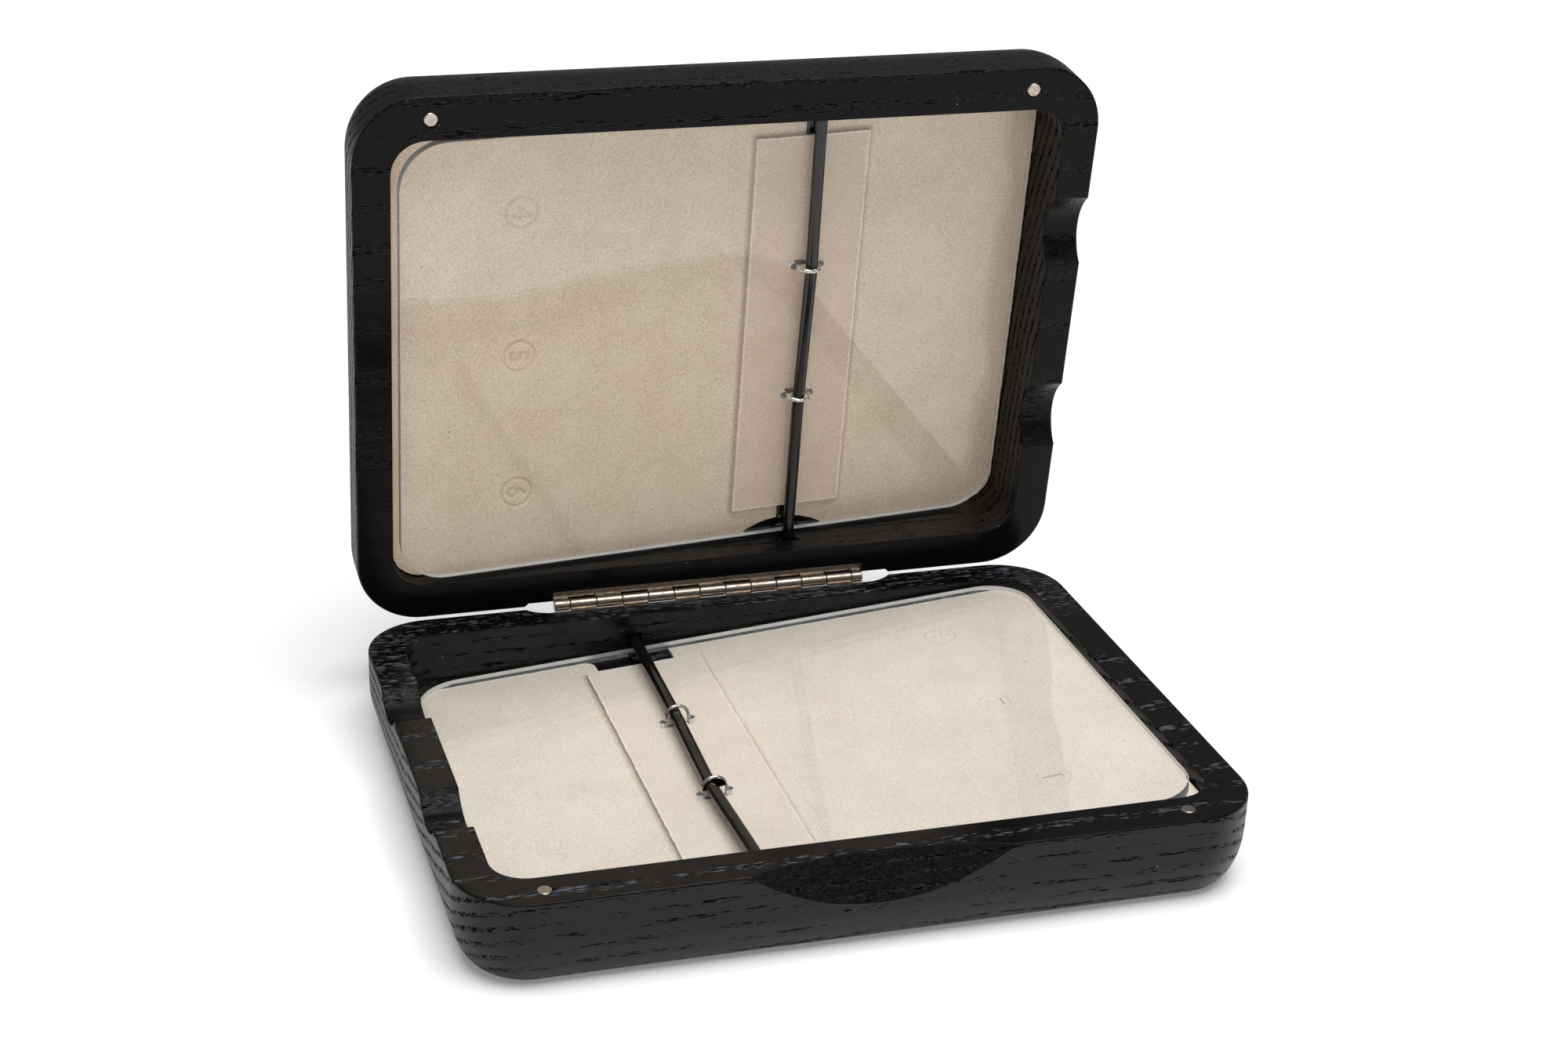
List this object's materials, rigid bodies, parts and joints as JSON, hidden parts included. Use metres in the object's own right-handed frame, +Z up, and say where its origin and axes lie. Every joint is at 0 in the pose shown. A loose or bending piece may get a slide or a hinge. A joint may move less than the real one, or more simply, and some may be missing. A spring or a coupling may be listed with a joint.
{
  "type": "jewelry box",
  "caption": "Hinged wooden pocket case with sloping clear plates over soft lining, elastic cords that hold small flat things on them, finger notches and magnet closure.",
  "frame": {"origin": "middle of the base's flat underside", "axes": "+Z up out of the base's rim, +Y towards the hinge at the back, +X to the right along the hinge"},
  "size_m": [0.133, 0.1165, 0.1173],
  "materials": {
    "black_ash": "black-stained open-grained ash under a thin satin oil",
    "suede_lining": "soft brushed suede, cream",
    "suede_strip": "soft brushed suede, paler cream",
    "clear_plate": "clear, polished edges",
    "elastic_cord": "solid black rubber cord, slight sheen",
    "nickel_wire": "bright nickel-plated wire",
    "magnet_nickel": "satin nickel",
    "nickel_hinge": "bright nickel-plated steel with fine wear"
  },
  "bodies": {
    "base": {"base_shell": "black_ash", "base_lining": "suede_lining", "base_strip": "suede_strip", "base_plate": "clear_plate", "base_cord": "elastic_cord", "base_clip_front": "nickel_wire", "base_clip_back": "nickel_wire", "base_magnet_left": "magnet_nickel", "base_magnet_right": "magnet_nickel", "base_hinge_leaf": "nickel_hinge", "hinge_pin": "nickel_hinge"},
    "lid": {"lid_shell": "black_ash", "lid_lining": "suede_lining", "lid_strip": "suede_strip", "lid_plate": "clear_plate", "lid_cord": "elastic_cord", "lid_clip_front": "nickel_wire", "lid_clip_back": "nickel_wire", "lid_magnet_left": "magnet_nickel", "lid_magnet_right": "magnet_nickel", "lid_hinge_leaf": "nickel_hinge"}
  },
  "joints": [
    {"name": "lid_hinge", "type": "hinge", "parent": "base", "child": "lid", "pos_m": [0, 0.05065, 0.01605], "axis": [-1, 0, 0], "range_deg": [-83, 97]}
  ]
}
